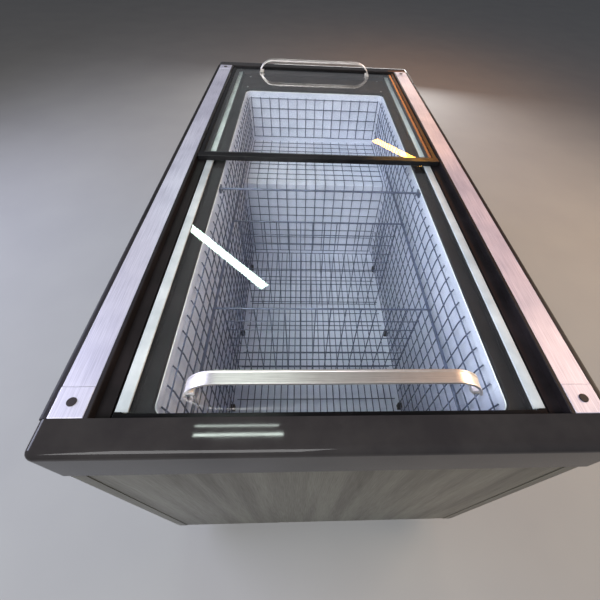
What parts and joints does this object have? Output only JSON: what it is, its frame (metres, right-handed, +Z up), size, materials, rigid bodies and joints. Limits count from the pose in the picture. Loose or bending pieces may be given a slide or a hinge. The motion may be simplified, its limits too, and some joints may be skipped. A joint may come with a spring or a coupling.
{
  "type": "chest freezer",
  "caption": "Island chest freezer with two sliding glass lids on stepped tracks, bow handles, a stepped liner with wire grids and dividers, and a machine room at one end.",
  "frame": {"origin": "on the floor under the middle of the cabinet, at the bottom centre of the bounding box", "axes": "+X across the width, +Y along the length towards the machine end, +Z up"},
  "size_m": [0.9, 1.8, 0.8915],
  "materials": {
    "pad_rubber": "matt",
    "zinc_steel": "zinc plated",
    "base_steel": "powder coated",
    "side_sheet": "satin",
    "end_sheet": "brushed",
    "foam": "closed cell foam",
    "liner_white": "smooth",
    "charcoal_moulding": "glossy",
    "rail_dark": "satin",
    "trim_satin": "satin anodised",
    "cover_dark": "fine grain",
    "compressor_black": "gloss enamel",
    "fin_aluminium": "mill",
    "copper_tube": "drawn copper",
    "motor_steel": "plain",
    "fan_plastic": "moulded",
    "tray_grey": "moulded",
    "control_black": "moulded",
    "knob_black": "moulded",
    "box_grey": "moulded",
    "drain_white": "moulded",
    "grid_coating": "plastic coated",
    "lid_frame_black": "glossy",
    "lid_glass": "clear",
    "slide_pad": "low friction",
    "handle_satin": "satin"
  },
  "bodies": {
    "cabinet": {"foot_pads": "pad_rubber", "foot_stems": "zinc_steel", "base_rails": "base_steel", "base_plate": "base_steel", "left_side_panel": "side_sheet", "right_side_panel": "side_sheet", "near_end_panel": "end_sheet", "far_end_panel": "side_sheet", "machine_grille": "base_steel", "corner_posts": "end_sheet", "foam_insulation": "foam", "liner": "liner_white", "evaporator_coil": "fin_aluminium", "breaker_rim": "rail_dark", "right_side_rail": "rail_dark", "left_side_rail": "rail_dark", "side_trims": "trim_satin", "corner_covers": "trim_satin", "corner_screw_caps": "cover_dark", "near_end_moulding": "charcoal_moulding", "far_end_moulding": "charcoal_moulding", "machine_cover": "cover_dark", "compressor": "compressor_black", "compressor_grommets": "pad_rubber", "compressor_terminal_cover": "control_black", "condenser_fins": "fin_aluminium", "condenser_tube": "copper_tube", "fan_shroud": "base_steel", "fan_motor": "motor_steel", "filter_drier": "copper_tube", "refrigerant_lines": "copper_tube", "control_fascia": "control_black", "controller_box": "box_grey", "mains_inlet": "control_black", "drain_tube": "drain_white", "left_side_grid": "grid_coating", "right_side_grid": "grid_coating", "end_grids": "grid_coating", "step_grid": "grid_coating", "floor_grid": "grid_coating", "divider_rails": "grid_coating", "tie_rod": "grid_coating", "grid_clips": "cover_dark"},
    "upper_lid": {"upper_lid_frame": "lid_frame_black", "upper_lid_glass": "lid_glass", "upper_lid_pads": "slide_pad", "upper_lid_handle": "handle_satin", "upper_lid_handle_fixings": "zinc_steel"},
    "lower_lid": {"lower_lid_frame": "lid_frame_black", "lower_lid_glass": "lid_glass", "lower_lid_pads": "slide_pad", "lower_lid_handle": "handle_satin", "lower_lid_handle_fixings": "zinc_steel"},
    "near_divider": {"near_divider": "grid_coating"},
    "far_divider": {"far_divider": "grid_coating"},
    "fan": {"fan_blade": "fan_plastic"},
    "drip_tray": {"drip_tray": "tray_grey"},
    "thermostat_knob": {"thermostat_knob": "knob_black"},
    "power_rocker": {"power_rocker": "knob_black"},
    "drain_cap": {"drain_cap": "control_black"}
  },
  "joints": [
    {"name": "upper_lid_slide", "type": "slide", "parent": "cabinet", "child": "upper_lid", "axis": [0, 1, 0], "range_m": [-0.74, 0]},
    {"name": "lower_lid_slide", "type": "slide", "parent": "cabinet", "child": "lower_lid", "axis": [0, 1, 0], "range_m": [0, 0.74]},
    {"name": "near_divider_slide", "type": "slide", "parent": "cabinet", "child": "near_divider", "axis": [0, 1, 0], "range_m": [-0.16, 0.16]},
    {"name": "far_divider_slide", "type": "slide", "parent": "cabinet", "child": "far_divider", "axis": [0, 1, 0], "range_m": [-0.16, 0.16]},
    {"name": "fan_spin", "type": "hinge", "parent": "cabinet", "child": "fan", "pos_m": [0.13, 0.795, 0.28], "axis": [0, 1, 0], "continuous": true},
    {"name": "drip_tray_slide", "type": "slide", "parent": "cabinet", "child": "drip_tray", "axis": [0, 1, 0], "range_m": [0, 0.25]},
    {"name": "thermostat_turn", "type": "hinge", "parent": "cabinet", "child": "thermostat_knob", "pos_m": [-0.095, 0.873, 0.662], "axis": [0, 1, 0], "range_deg": [-135, 135]},
    {"name": "power_rocker_tilt", "type": "hinge", "parent": "cabinet", "child": "power_rocker", "pos_m": [-0.01, 0.872, 0.662], "axis": [1, 0, 0], "range_deg": [0, 14]},
    {"name": "drain_cap_pull", "type": "slide", "parent": "cabinet", "child": "drain_cap", "axis": [0, 0, -1], "range_m": [0, 0.04]}
  ]
}
